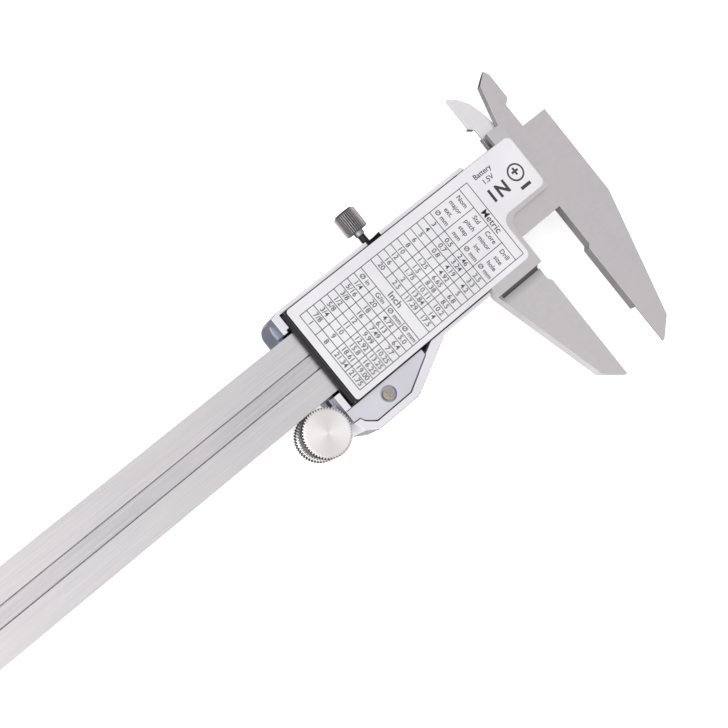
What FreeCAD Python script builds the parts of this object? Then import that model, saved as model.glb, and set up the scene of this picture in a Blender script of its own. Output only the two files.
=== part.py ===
import FreeCAD, Part
import os
import re
import Sketcher

# A 150 mm electronic caliper lying on its display, with the back of the beam upwards.
# Datum of the drawing: x = 0 on the fixed jaw's measuring face and +x away from the slider,
# y = 0 on the beam's centreline and +y towards the inside jaws, z = 0 on the beam's back face.
# The beam's pieces are drawn in that datum. The slider's pieces are drawn with x = 0 on the
# moving jaw's measuring face, so jawGap alone opens the jaws.

doc = FreeCAD.newDocument("Caliper")
sheet = doc.addObject("Spreadsheet::Sheet", "Dims")

SIZES = {
    # the row's frame: the middle of the box in plan, on the surface that the display side rests on
    "frameX": 110.4, "frameY": 10.05, "frameZ": 13.0,
    "jawGap": 12.7,
    # beam and fixed jaws
    "beamTail": 222, "beamHalf": 8, "beamThick": 3,
    "grooveHalf": 1.95, "grooveDeep": 1.6,
    "recessHalf": 5.2, "recessDeep": 0.85, "recessStart": 6, "recessEnd": 214,
    "jawBack": 13.9, "jawRelief": 0.8, "reliefEnd": 19.2, "faceStart": 20.1, "jawTip": 48.1,
    "tipLand": 0.5, "tipCorner": 5.2, "tipCornerY": 44.0, "heelX": 13.7, "heelY": 13.2,
    "shoulder": 12.15, "knifeStart": 37.8, "knifeLand": 0.5, "knifeRun": 4.5,
    "insideZero": 8, "insideRelief": 6.45, "insideStart": 19.6, "insideTip": 28, "bladeSplit": 1.5,
    "bladeGap": 0.05, "bladeRoot": 18.4,
    "stripThick": 0.6, "foilThick": 0.2, "fitGap": 0.05,
    # slider frame
    "frameLen": 56.2, "wallTop": 1.7, "slideGap": 0.05, "railOut": 12.6, "railLow": 3.3,
    "gibFace": 8.6, "gibNear": 8.05, "gibFar": 8.55, "tongueLow": 2.7, "tongueRound": 3,
    "tabLeft": 9.4, "tabTop": 15.8, "bandLow": 15.1, "bandEnd": 13.6, "bridgeLow": 4.25,
    "bridgeStart": 12.5, "labelThick": 0.3, "labelHalf": 12.45, "labelTongue": 1.6, "labelFront": 1.3,
    # front housing
    "caseRight": 0.7, "caseHalf": 13.6, "caseTail": 59.8, "caseStep": 59.2, "caseFront": 13,
    "panelZ": 12.2, "caseFloor": 11.4, "caseTop": 1.2, "caseWall": 1.2, "bulge": 20.3,
    "bulgeLeft": 58.4, "bulgeRight": 43.5, "bulgeFoot": 30, "rimWall": 1.6, "beamWay": 8.6,
    "coverTop": 1.0, "coverThick": 1.6, "coverRoom": 0.1, "coverNotch": 57.5, "coverLeft": 54.8,
    "coverRight": 44.7, "coverEnd": 36.4, "coverLow": 18.7,
    # thumb roller and its spring
    "rollerX": 65.3, "rollerY": 13.72, "rollerR": 5.7, "rollerTop": 1.2, "rollerFlange": 2.4,
    "rollerLow": 8.2, "hubR": 3.0, "hookGap": 0.05, "hookThick": 0.65, "springTop": 1.5,
    "springLow": 4.9,
    # lock screw
    "lockX": 29.7, "lockZ": 1.5, "lockStem": 0.95, "lockBore": 1.0, "lockHead": 2.8,
    "lockHeadLow": 16.6, "lockHeadTop": 22.1, "shoeFace": 8.8, "shoeTop": 9.4,
    # depth rod
    "rodHalf": 1.9, "rodTop": 0.15, "rodLow": 1.45, "rodStart": 34, "rivetR": 0.75,
    # circuit board, display, buttons and battery
    "boardFront": 13, "boardTail": 55.5, "boardHalf": 12.4, "boardThick": 0.8,
    "windowX": 31, "windowY": 4.2, "windowWide": 38, "windowHigh": 13.5,
    "lcdWide": 36, "lcdHigh": 11.5, "lcdThick": 1.8, "lcdFace": 10.8,
    "buttonY": 8.4, "buttonPitch": 11.8, "buttonFirst": 15, "buttonWide": 7, "buttonHigh": 4.6,
    "buttonOut": 12.8, "buttonIn": 9.6, "buttonTravel": 0.5, "buttonGap": 0.15,
    "cellX": 49.9, "cellY": 12.6, "cellR": 5.8, "cellThick": 5.4, "cellFace": 11.2,
    "doorLeft": 58, "doorRight": 43, "doorTop": 6.2, "doorLow": 18.9,
    # fasteners
    "caseScrewX": 8, "caseScrewTail": 52.5, "caseScrewY": 10.7, "caseScrewR": 0.8, "caseScrewLong": 9,
    "gibScrewFront": 14, "gibScrewTail": 46, "setScrewR": 1.0,
    "coverScrewX": 48.9, "coverScrewY": 15.8,
}

for row, (alias, value) in enumerate(SIZES.items(), start=1):
    sheet.set(f"A{row}", alias)
    sheet.set(f"B{row}", str(value))
    sheet.setAlias(f"B{row}", alias)
doc.recompute()

CASE_SCREWS = (("-caseScrewX", "-caseScrewY"), ("-caseScrewX", "caseScrewY"), ("-caseScrewTail", "caseScrewY"))
BUTTONS = ("-buttonFirst", "-buttonFirst - buttonPitch", "-buttonFirst - 2 * buttonPitch")
BUTTON_NAMES = ("button_power", "button_zero", "button_unit")

DATUM = ("frameX", "frameY", "frameZ")
SLIDER = ("frameX - jawGap", "frameY", "frameZ")


def cells(text):
    """Turn the names in an expression into references to the sheet."""
    return re.sub(r"[A-Za-z]\w*", lambda word: "Dims." + word.group(), str(text))


def bind(thing, **properties):
    for name, text in properties.items():
        thing.setExpression(name.replace("__", "."), cells(text))


def place(thing, frame, offset=("0", "0", "0")):
    for axis, base, shift in zip("xyz", frame, offset):
        thing.setExpression(f"Placement.Base.{axis}", cells(f"{base} + {shift}"))


# ---------------------------------------------------------------- PartDesign helpers

def newBody(label, frame, offset=("0", "0", "0")):
    body = doc.addObject("PartDesign::Body", label)
    body.Label = label
    place(body, frame, offset)
    return body


def sketchOn(body, name, plane="XY_Plane", level="0"):
    sketch = body.newObject("Sketcher::SketchObject", name)
    origin = [item for item in body.Origin.OriginFeatures if item.Role == plane]
    sketch.AttachmentSupport = [(origin[0], "")]
    sketch.MapMode = "FlatFace"
    bind(sketch, AttachmentOffset__Base__z=level)
    return sketch


def drawOutline(sketch, points):
    """A closed outline whose corners are each held by two dimensions bound to the sheet."""
    count = len(points)
    for index in range(count):
        start = FreeCAD.Vector(index, index * index, 0)
        after = (index + 1) % count
        sketch.addGeometry(Part.LineSegment(start, FreeCAD.Vector(after, after * after, 0)))
    for index, (across, along) in enumerate(points):
        sketch.addConstraint(Sketcher.Constraint("Coincident", index - 1 if index else count - 1, 2, index, 1))
        for kind, text in (("DistanceX", across), ("DistanceY", along)):
            number = sketch.addConstraint(Sketcher.Constraint(kind, -1, 1, index, 1, 1.0))
            sketch.setExpression(f"Constraints[{number}]", cells(text))


def drawCircle(sketch, across, along, radius):
    ring = sketch.addGeometry(Part.Circle(FreeCAD.Vector(1, 1, 0), FreeCAD.Vector(0, 0, 1), 1.0))
    for kind, text in (("DistanceX", across), ("DistanceY", along)):
        number = sketch.addConstraint(Sketcher.Constraint(kind, -1, 1, ring, 3, 1.0))
        sketch.setExpression(f"Constraints[{number}]", cells(text))
    number = sketch.addConstraint(Sketcher.Constraint("Radius", ring, 1.0))
    sketch.setExpression(f"Constraints[{number}]", cells(radius))


def extrude(body, kind, name, sketch, length, flip=False):
    feature = body.newObject("PartDesign::" + kind, name)
    feature.Profile = sketch
    feature.Reversed = flip
    bind(feature, Length=length)
    body.Tip = feature
    return feature


def pad(body, name, points, low, high):
    sketch = sketchOn(body, name + "Sketch", level=low)
    drawOutline(sketch, points)
    return extrude(body, "Pad", name, sketch, f"({high}) - ({low})")


def pocket(body, name, points, low, high):
    sketch = sketchOn(body, name + "Sketch", level=high)
    drawOutline(sketch, points)
    return extrude(body, "Pocket", name, sketch, f"({high}) - ({low})")


def roundPad(body, name, circles, low, high):
    sketch = sketchOn(body, name + "Sketch", level=low)
    for circle in circles:
        drawCircle(sketch, *circle)
    return extrude(body, "Pad", name, sketch, f"({high}) - ({low})")


def roundPocket(body, name, circles, low, high):
    sketch = sketchOn(body, name + "Sketch", level=high)
    for circle in circles:
        drawCircle(sketch, *circle)
    return extrude(body, "Pocket", name, sketch, f"({high}) - ({low})")


def crossCut(body, name, points, start, length):
    """Cut an outline drawn in x and z, from y = start towards -y."""
    sketch = sketchOn(body, name + "Sketch", "XZ_Plane", f"-({start})")
    drawOutline(sketch, points)
    return extrude(body, "Pocket", name, sketch, length, flip=True)


def crossBore(body, name, circles, start, length):
    sketch = sketchOn(body, name + "Sketch", "XZ_Plane", f"-({start})")
    for circle in circles:
        drawCircle(sketch, *circle)
    return extrude(body, "Pocket", name, sketch, length, flip=True)


def turn(body, name, plane, profile):
    """Turn a profile of (radius, height) corners about the sketch's vertical axis."""
    sketch = sketchOn(body, name + "Sketch", plane)
    drawOutline(sketch, profile)
    feature = body.newObject("PartDesign::Revolution", name)
    feature.Profile = sketch
    feature.ReferenceAxis = (sketch, ["V_Axis"])
    feature.Angle = 360
    body.Tip = feature
    return feature


def cornerEdges(feature, corners):
    """Names of the feature's upright edges that stand at the given (x, y) corners."""
    doc.recompute()
    found = []
    for number, edge in enumerate(feature.Shape.Edges, start=1):
        first, last = edge.Vertexes[0].Point, edge.Vertexes[-1].Point
        upright = abs(first.x - last.x) < 1e-4 and abs(first.y - last.y) < 1e-4
        if upright and any(abs(first.x - x) < 0.02 and abs(first.y - y) < 0.02 for x, y in corners):
            found.append(f"Edge{number}")
    if not found:
        raise RuntimeError(f"no edge at the corners of {feature.Label}")
    return found


def roundCorners(body, name, feature, corners, radius):
    rounding = body.newObject("PartDesign::Fillet", name)
    rounding.Base = (feature, cornerEdges(feature, corners))
    bind(rounding, Radius=radius)
    body.Tip = rounding
    return rounding


def size(alias):
    return float(SIZES[alias])


def rectangle(left, low, right, high):
    return [(left, low), (right, low), (right, high), (left, high)]


# ---------------------------------------------------------------- Part helpers

def block(name, left, low, bottom, right, high, top):
    box = doc.addObject("Part::Box", name)
    bind(box, Length=f"({right}) - ({left})", Width=f"({high}) - ({low})", Height=f"({top}) - ({bottom})")
    bind(box, Placement__Base__x=left, Placement__Base__y=low, Placement__Base__z=bottom)
    return box


def rod(name, across, along, bottom, radius, height):
    cylinder = doc.addObject("Part::Cylinder", name)
    bind(cylinder, Radius=radius, Height=height)
    bind(cylinder, Placement__Base__x=across, Placement__Base__y=along, Placement__Base__z=bottom)
    return cylinder


def combine(kind, name, pieces):
    """Fuse or group pieces under one object: kind is MultiFuse or Compound."""
    group = doc.addObject("Part::" + kind, name)
    if kind == "Compound":
        group.Links = pieces
    else:
        group.Shapes = pieces
    return group


def cut(name, base, tool):
    result = doc.addObject("Part::Cut", name)
    result.Base = base
    result.Tool = tool
    return result


def finishPart(thing, label, frame, offset=("0", "0", "0")):
    """Give a Part object its label and put a copy of it, moved to the row's frame, in a group."""
    holder = combine("Compound", label, [thing])
    holder.Label = label
    place(holder, frame, offset)
    return holder


def slab(label, frame, left, low, bottom, right, high, top):
    return finishPart(block(label + "Box", left, low, bottom, right, high, top), label, frame)


def screwGroup(label, frame, places, headR, headHigh, shankR, length):
    """Screws that point down, each with a countersunk head, a shank and a cross recess."""
    screws = []
    for number, (across, along, top) in enumerate(places, start=1):
        name = f"{label}{number}"
        head = doc.addObject("Part::Cone", name + "Head")
        bind(head, Radius1=shankR, Radius2=headR, Height=headHigh, Placement__Base__x=across)
        bind(head, Placement__Base__y=along, Placement__Base__z=f"({top}) - ({headHigh})")
        shank = rod(name + "Shank", across, along, f"({top}) - ({length})", shankR,
                    f"({length}) - ({headHigh}) + 0.01")
        solid = combine("MultiFuse", name + "Solid", [head, shank])
        bars = []
        for axis, wide, deep in (("X", "0.15 * headR", "0.62 * headR"), ("Y", "0.62 * headR", "0.15 * headR")):
            wide = wide.replace("headR", headR)
            deep = deep.replace("headR", headR)
            bars.append(block(name + "Slot" + axis, f"({across}) - {wide}", f"({along}) - {deep}",
                              f"({top}) - 0.6 * ({headHigh})", f"({across}) + {wide}",
                              f"({along}) + {deep}", f"({top}) + 0.1"))
        recess = combine("MultiFuse", name + "Recess", bars)
        screws.append(cut(name + "Cut", solid, recess))
    holder = combine("Compound", label, screws)
    holder.Label = label
    place(holder, frame)
    return holder


# ---------------------------------------------------------------- beam body

def makeBeam():
    """The bar with the fixed jaws, its depth rod groove and the recess for the scale."""
    body = newBody("beam", DATUM)
    bar = pad(body, "BeamBar", [
        ("-beamTail", "-beamHalf"), ("jawRelief", "-beamHalf"), ("jawRelief", "-reliefEnd"),
        ("0", "-faceStart"), ("0", "-jawTip"), ("tipLand", "-jawTip"), ("tipCorner", "-tipCornerY"),
        ("heelX", "-heelY"), ("jawBack", "-heelY + 0.6"), ("jawBack", "shoulder"),
        ("jawRelief", "shoulder"), ("jawRelief", "beamHalf"), ("-beamTail", "beamHalf"),
    ], "-beamThick", "0")
    roundCorners(body, "TailCorners", bar,
                 [(-size("beamTail"), size("beamHalf")), (-size("beamTail"), -size("beamHalf"))], "1")
    pad(body, "InsideJaw", [
        ("insideRelief", "shoulder - 1"), ("insideRelief", "bladeRoot"), ("insideZero", "insideStart"),
        ("insideZero", "insideTip - 1.5"), ("insideZero - 0.8", "insideTip"), ("4.2", "25.7"),
        ("1.76", "16.8"), ("jawRelief", "shoulder"), ("jawRelief", "shoulder - 1"),
    ], "-bladeSplit + bladeGap", "0")
    pocket(body, "DepthGroove", rectangle("-beamTail - 1", "-grooveHalf", "-4", "grooveHalf"),
           "-grooveDeep", "0.5")
    recess = rectangle("-recessEnd", "-recessHalf", "-recessStart", "recessHalf")
    pocket(body, "ScaleRecess", recess, "-beamThick - 0.5", "-beamThick + recessDeep")
    roundPocket(body, "EndStopHoles", [("-beamTail + 3.5", along, "0.5") for along in ("-3.9", "3.9")],
                "-2", "0.5")
    crossCut(body, "KnifeEdge", [
        ("-1", "-beamThick - 0.5"), ("knifeRun + 1", "-beamThick - 0.5"), ("knifeRun", "-beamThick"),
        ("0", "-knifeLand"), ("-1", "-knifeLand"),
    ], "-knifeStart", "jawTip")
    crossCut(body, "InsideKnife", [
        ("insideZero + 1", "-bladeSplit - 0.1"), ("insideZero - 1.6", "-bladeSplit - 0.1"),
        ("insideZero - 1.6", "-bladeSplit + bladeGap"), ("insideZero", "-0.3"), ("insideZero + 1", "-0.3"),
    ], "insideTip + 1", "insideTip - insideStart + 1")
    return body


def makeScale():
    """The capacitive strip and the graduated foil on it, both let into the beam's front."""
    floor = "-beamThick + recessDeep"
    under = f"{floor} - stripThick"
    slab("stator_strip", DATUM, "-recessEnd + fitGap", "-recessHalf + fitGap", under,
         "-recessStart - fitGap", "recessHalf - fitGap", floor)
    slab("scale_foil", DATUM, "-recessEnd + fitGap", "-recessHalf + fitGap", f"{under} - foilThick",
         "-recessStart - fitGap", "recessHalf - fitGap", under)


def makeEndStop():
    """A small plate over the groove at the beam's end. It keeps the rod in and stops the slider."""
    plate = block("EndStopPlate", "-beamTail + 1", "-5.5", "0", "-beamTail + 6", "5.5", "0.8")
    holes = [rod(f"EndStopHole{side}", "-beamTail + 3.5", along, "-1", "0.82", "3")
             for side, along in enumerate(("-3.9", "3.9"))]
    finishPart(cut("EndStopCut", plate, combine("MultiFuse", "EndStopHoles", holes)), "end_stop", DATUM)


def makeEndStopScrews():
    places = [("-beamTail + 3.5", along, "0.8") for along in ("-3.9", "3.9")]
    screwGroup("end_stop_screws", DATUM, places, "0.8", "0.4", "0.5", "2.6")


# ---------------------------------------------------------------- slider body: frame and fittings

def makeSliderFrame():
    """The steel slider: back wall with its tongue, two rails, the front bridge and both moving jaws."""
    body = newBody("slider_frame", SLIDER)
    wall = pad(body, "BackWall", [
        ("-frameLen", "-railOut"), ("-bandEnd - 0.6", "-railOut"), ("-bandEnd", "-bandLow"),
        ("0", "-bandLow"), ("0", "-tongueLow"), ("jawBack", "-tongueLow"), ("jawBack", "tabTop"),
        ("tabLeft", "tabTop"), ("tabLeft", "railOut"), ("-frameLen", "railOut"),
    ], "slideGap", "wallTop")
    roundCorners(body, "TongueRound", wall, [(0, -size("tongueLow"))], "tongueRound")
    pad(body, "UpperRail", rectangle("-frameLen", "gibFace", "0", "railOut"), "-railLow", "slideGap + 0.1")
    pad(body, "LowerRail", rectangle("-frameLen", "-railOut", "0", "-beamHalf - slideGap"),
        "-railLow", "slideGap + 0.1")
    pad(body, "MovingJaw", [
        ("0", "-beamHalf - slideGap"), ("0", "-bandLow"), ("-jawRelief", "-bandLow - 0.6"),
        ("-jawRelief", "-reliefEnd"), ("0", "-faceStart"), ("0", "-jawTip"), ("-tipLand", "-jawTip"),
        ("-tipCorner", "-tipCornerY"), ("-bandEnd", "-bandLow"), ("-bandEnd", "-beamHalf - slideGap"),
    ], "-beamThick", "slideGap + 0.1")
    pad(body, "FrontBridge", [
        ("-bridgeStart", "-railOut"), ("0", "-railOut"), ("0", "-tongueLow"), ("jawBack", "-tongueLow"),
        ("jawBack", "tabTop"), ("tabLeft + 1", "tabTop"), ("tabLeft + 1", "railOut"), ("-bridgeStart", "railOut"),
    ], "-bridgeLow", "-beamThick - slideGap")
    pocket(body, "RootGroove", rectangle("-bandEnd + 1", "-bandLow - 1", "1", "-bandLow"), "-0.5", "slideGap + 1")
    pad(body, "InsideJaw", [
        ("tabLeft", "shoulder + 0.15"), ("jawBack", "shoulder + 0.15"), ("14.3", "17"), ("13.9", "20"),
        ("12.6", "24"), ("10.6", "26.7"), ("insideZero + 0.5", "insideTip"),
        ("insideZero", "insideTip - 0.4"), ("insideZero", "insideStart"), ("tabLeft", "bladeRoot"),
    ], "-beamThick - slideGap - 0.1", "-bladeSplit - bladeGap")
    crossCut(body, "KnifeEdge", [
        ("1", "-beamThick - 0.5"), ("1", "-knifeLand"), ("0", "-knifeLand"), ("-knifeRun", "-beamThick"),
        ("-knifeRun - 1", "-beamThick - 0.5"),
    ], "-knifeStart", "jawTip")
    crossCut(body, "InsideKnife", [
        ("insideZero - 1", "-beamThick - 0.5"), ("insideZero + 2", "-beamThick - 0.5"),
        ("insideZero", "-bladeSplit - bladeGap - 0.3"), ("insideZero - 1", "-bladeSplit - bladeGap - 0.3"),
    ], "insideTip + 1", "insideTip - insideStart + 1")
    crossCut(body, "RootKnife", [
        ("tabLeft - 1", "-beamThick - 0.5"), ("tabLeft + 1", "-beamThick - 0.5"),
        ("tabLeft", "-bladeSplit - bladeGap - 0.4"), ("tabLeft - 1", "-bladeSplit - bladeGap - 0.4"),
    ], "insideStart - 1", "insideStart - 1 - tabTop")
    crossBore(body, "LockBore", [("-lockX", "-lockZ", "lockBore")], "railOut + 1", "railOut - beamHalf + 1")
    gibHoles = [(across, "-lockZ", "setScrewR") for across in ("-gibScrewFront", "-gibScrewTail")]
    crossBore(body, "GibScrewHoles", gibHoles, "railOut + 1", "railOut - beamHalf + 1")
    roundPocket(body, "CaseScrewHoles", [(across, along, "caseScrewR") for across, along in CASE_SCREWS],
                "-bridgeLow - 1", "wallTop + 1")
    roundPocket(body, "CaseScrewSinks", [(across, along, "1.5") for across, along in CASE_SCREWS],
                "wallTop - 0.9", "wallTop + 1")
    rivets = [(across, "0", "rivetR") for across in ("-rodStart - 4", "-rodStart - 18")]
    roundPocket(body, "RivetHoles", rivets, "-1", "wallTop + 1")
    return body


def makeGib():
    """The brass strip that takes up the play along the beam's upper edge, and its set screws."""
    slab("gib_strip", SLIDER, "-50", "gibNear", "-beamThick + 0.3", "-5", "gibFar", "-0.3")
    screws = []
    for across in ("-gibScrewFront", "-gibScrewTail"):
        name = "GibScrew" + str(len(screws) + 1)
        shank = rod(name, across, "railOut - 0.4", "-lockZ", "setScrewR", "railOut - 0.4 - gibFar")
        shank.Placement = FreeCAD.Placement(FreeCAD.Vector(), FreeCAD.Rotation(FreeCAD.Vector(1, 0, 0), 90))
        bind(shank, Placement__Base__x=across, Placement__Base__y="railOut - 0.4", Placement__Base__z="-lockZ")
        slot = block(name + "Slot", f"{across} - 1.2", "railOut - 0.9", "-lockZ - 0.2",
                     f"{across} + 1.2", "railOut", "-lockZ + 0.2")
        screws.append(cut(name + "Cut", shank, slot))
    group = combine("Compound", "gib_screws", screws)
    group.Label = "gib_screws"
    place(group, SLIDER)


def makeLabel():
    """The printed plate on the slider's back: a long field and a narrower tongue."""
    body = newBody("back_label", SLIDER)
    sheetPad = pad(body, "LabelSheet", [
        ("-frameLen + 0.4", "-labelHalf"), ("-labelFront", "-labelHalf"), ("-labelFront", "-labelTongue"),
        ("jawBack - 0.5", "-labelTongue"), ("jawBack - 0.5", "labelHalf"), ("-frameLen + 0.4", "labelHalf"),
    ], "wallTop", "wallTop + labelThick")
    tip = size("jawBack") - 0.5
    outer = [(tip, -size("labelTongue")), (tip, size("labelHalf")),
             (-size("labelFront"), -size("labelHalf"))]
    rounded = roundCorners(body, "LabelCorners", sheetPad, outer, "1.6")
    inner = [(-size("labelFront"), -size("labelTongue"))]
    rounded = roundCorners(body, "LabelNeck", rounded, inner, "2.6")
    tail = [(0.4 - size("frameLen"), size("labelHalf")), (0.4 - size("frameLen"), -size("labelHalf"))]
    roundCorners(body, "LabelTail", rounded, tail, "0.8")


def makeDepthRod():
    """The flat rod in the beam's groove, riveted to the slider's back wall. Its end bears a step."""
    body = newBody("depth_rod", SLIDER)
    pad(body, "RodBar", rectangle("-beamTail", "-rodHalf", "-rodStart", "rodHalf"), "-rodLow", "-rodTop")
    pocket(body, "RodStep", [
        ("-beamTail - 1", "-rodHalf - 1"), ("-beamTail + 5", "-rodHalf - 1"), ("-beamTail + 5", "-rodHalf + 1.2"),
        ("-beamTail - 1", "-rodHalf + 1.2"),
    ], "-rodLow - 1", "1")
    rivets = [(across, "0", "rivetR") for across in ("-rodStart - 4", "-rodStart - 18")]
    roundPocket(body, "RivetHoles", rivets, "-rodLow - 1", "1")
    pieces = []
    for across, along, radius in rivets:
        name = "Rivet" + str(len(pieces) + 1)
        shank = rod(name + "Shank", across, along, "-rodLow", radius, "rodLow + wallTop")
        collar = rod(name + "Collar", across, along, "-rodTop", "1.3", "rodTop + slideGap")
        pieces.append(combine("MultiFuse", name, [shank, collar]))
    group = combine("Compound", "depth_rod_rivets", pieces)
    group.Label = "depth_rod_rivets"
    place(group, SLIDER)


# ---------------------------------------------------------------- slider body: front housing

def makeFrontHousing():
    """The display case: a shell with side walls beside the steel frame and a thumb rest below."""
    body = newBody("front_housing", SLIDER)
    shell = pad(body, "CaseBlock", [
        ("-caseRight", "-caseHalf"), ("-caseRight", "caseHalf"), ("-caseTail", "caseHalf"),
        ("-caseTail", "-beamHalf - 0.3"), ("-caseStep", "-beamHalf - 0.3"), ("-caseStep", "-bandLow - 0.7"),
        ("-bulgeLeft", "-bulge + 1.8"), ("-bulgeLeft + 3", "-bulge"), ("-bulgeRight", "-bulge"),
        ("-bulgeFoot", "-caseHalf"),
    ], "-caseFront", "caseTop")
    shell = roundCorners(body, "TailCorner", shell, [(-size("caseTail"), size("caseHalf"))], "3.2")
    thumb = [(-size("bulgeRight"), -size("bulge")), (-size("bulgeFoot"), -size("caseHalf"))]
    shell = roundCorners(body, "ThumbRest", shell, thumb, "7")
    small = [(3 - size("bulgeLeft"), -size("bulge")), (-size("caseRight"), -size("caseHalf")),
             (-size("caseRight"), size("caseHalf"))]
    roundCorners(body, "SmallCorners", shell, small, "0.9")
    pocket(body, "Inside", [
        ("-caseRight - caseWall", "-railOut - 0.15"), ("-caseRight - caseWall", "railOut + 0.05"),
        ("-caseStep + caseWall", "railOut + 0.05"), ("-caseStep + caseWall", "-beamHalf + 1"),
        ("-caseStep + rimWall", "-beamHalf + 1"), ("-caseStep + rimWall", "-bandLow + 0.6"),
        ("-coverNotch + 1.2", "-bandLow - 0.6"), ("-coverLeft + 0.2", "-coverLow + 0.1"),
        ("-coverRight", "-coverLow + 0.1"), ("-bulgeFoot - 3.5", "-railOut - 0.15"),
    ], "-caseFloor", "caseTop + 1")
    pocket(body, "TailCut", rectangle("-caseTail - 1", "-beamHalf - 1", "-caseStep", "caseHalf + 1"),
           "-railLow - 0.1", "caseTop + 1")
    pad(body, "UpperFlange", rectangle("-caseStep", "beamWay + 0.6", "-frameLen - 1", "caseHalf - 0.5"),
        "-bridgeLow", "caseTop")
    pad(body, "LowerFlange", rectangle("-caseStep", "-bandLow", "-caseStep + 1.4", "-beamWay"),
        "-bridgeLow", "0.9")
    pocket(body, "CoverSeat", coverOutline("coverRoom", "1"), "coverTop - coverThick", "caseTop + 1")
    pocket(body, "BeamWay", rectangle("-caseTail - 1", "-beamWay", "1", "beamWay"), "-bridgeLow", "caseTop + 1")
    pocket(body, "FrameSeat", rectangle("-bandEnd - 1.4", "-bulge", "1", "railOut + 0.05"),
           "-bridgeLow", "caseTop + 1")
    pocket(body, "LockSlot", rectangle("-lockX - 1.15", "railOut - 1", "-lockX + 2.9", "caseHalf + 1"),
           "-bridgeLow", "caseTop + 1")
    makeHousingFront(body)
    return body


def makeHousingFront(body):
    """The recessed front panel with its openings, and the posts that take the screws."""
    pocket(body, "FrontPanel", rectangle("-caseTail + 2.2", "-buttonY - 4", "-caseRight - 1.4", "caseHalf - 1.4"),
           "-caseFront - 1", "-panelZ")
    pocket(body, "WindowOpening", rectangle(
        "-windowX - windowWide / 2", "windowY - windowHigh / 2", "-windowX + windowWide / 2",
        "windowY + windowHigh / 2"), "-caseFront - 1", "-caseFloor + 1")
    for number, across in enumerate(BUTTONS, start=1):
        pocket(body, f"ButtonOpening{number}", rectangle(
            f"{across} - buttonWide / 2 - buttonGap", "-buttonY - buttonHigh / 2 - buttonGap",
            f"{across} + buttonWide / 2 + buttonGap", "-buttonY + buttonHigh / 2 + buttonGap"),
            "-caseFront - 1", "-caseFloor + 1")
    opening = rectangle("-doorLeft + 2", "-doorLow + 0.8", "-doorRight - 1.4", "-doorTop - 0.8")
    pocket(body, "BatteryOpening", opening, "-caseFront - 1", "-caseFloor + 1")
    pocket(body, "DoorSeat", rectangle("-caseTail - 1", "-doorLow", "-doorRight", "-doorTop"),
           "-caseFront - 1", "-panelZ + 0.3")
    posts = [(across, along, "1.6") for across, along in CASE_SCREWS]
    roundPad(body, "FrontPosts", posts[:2], "-caseFloor - 0.2", "-bridgeLow")
    roundPad(body, "TailPost", posts[2:], "-caseFloor - 0.2", "-railLow - boardThick")
    roundPocket(body, "PostHoles", [(across, along, "caseScrewR") for across, along in CASE_SCREWS],
                "-caseScrewLong + wallTop - 0.5", "-railLow + 2")
    lug = rectangle("-coverScrewX - 1.8", "-bulge + rimWall - 0.5", "-coverScrewX + 1.8", "-coverScrewY + 1.8")
    pad(body, "CoverLug", lug, "-cellThick + 0.4", "coverTop - coverThick")
    roundPocket(body, "CoverLugHole", [("-coverScrewX", "-coverScrewY", "0.7")], "-cellThick", "coverTop")


def coverOutline(room, past):
    """The outline of the thumb rest's cover, larger by room, and by past where it ends at the tail."""
    return [
        (f"-caseStep - {past}", f"-railOut - 0.25 + {room}"),
        (f"-caseStep - {past}", f"-bandLow - 0.6 - {room}"),
        (f"-coverNotch - {room}", f"-bandLow - 0.7 - {room}"),
        (f"-coverNotch + 0.5 - {room}", f"-coverLow + 1.8 - {room}"),
        (f"-coverLeft - {room}", f"-coverLow - {room}"), (f"-coverRight + {room}", f"-coverLow - {room}"),
        (f"-coverEnd + {room}", f"-railOut - 1.7 - {room}"), (f"-coverEnd + {room}", f"-railOut - 0.25 + {room}"),
    ]


def makeBackCover():
    """The plate that closes the thumb rest from behind, with a sunk hole for its screw."""
    body = newBody("back_cover", SLIDER)
    plate = pad(body, "CoverPlate", coverOutline("0", "0"), "coverTop - coverThick", "coverTop")
    left, low, right = size("coverLeft"), size("coverLow"), size("coverRight")
    roundCorners(body, "CoverCorners", plate, [(-left, -low), (-right, -low)], "1.5")
    roundPocket(body, "ScrewHole", [("-coverScrewX", "-coverScrewY", "0.8")], "coverTop - coverThick - 1",
                "coverTop + 1")
    roundPocket(body, "ScrewSink", [("-coverScrewX", "-coverScrewY", "1.95")], "coverTop - 1.3", "coverTop + 1")


def makeSliderScrews():
    caseScrews = [(across, along, "wallTop") for across, along in CASE_SCREWS]
    screwGroup("case_screws", SLIDER, caseScrews, "1.5", "0.8", "caseScrewR", "caseScrewLong")
    screwGroup("cover_screw", SLIDER, [("-coverScrewX", "-coverScrewY", "coverTop - 0.7")],
               "1.2", "0.6", "0.7", "3.4")


# ---------------------------------------------------------------- slider body: electronics

def makeBoard():
    """The circuit board that reads the strip, with its chip under a drop of resin."""
    body = newBody("main_board", SLIDER)
    pad(body, "BoardPlate", rectangle("-boardTail", "-boardHalf", "-boardFront", "boardHalf"),
        "-railLow - boardThick", "-railLow")
    roundPocket(body, "BoardHole", [("-caseScrewTail", "caseScrewY", "caseScrewR + 0.15")],
                "-railLow - boardThick - 1", "0")
    slab("chip_resin", SLIDER, "-36", "1", "-railLow - boardThick - 1.2", "-29", "7.4", "-railLow - boardThick")


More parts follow.
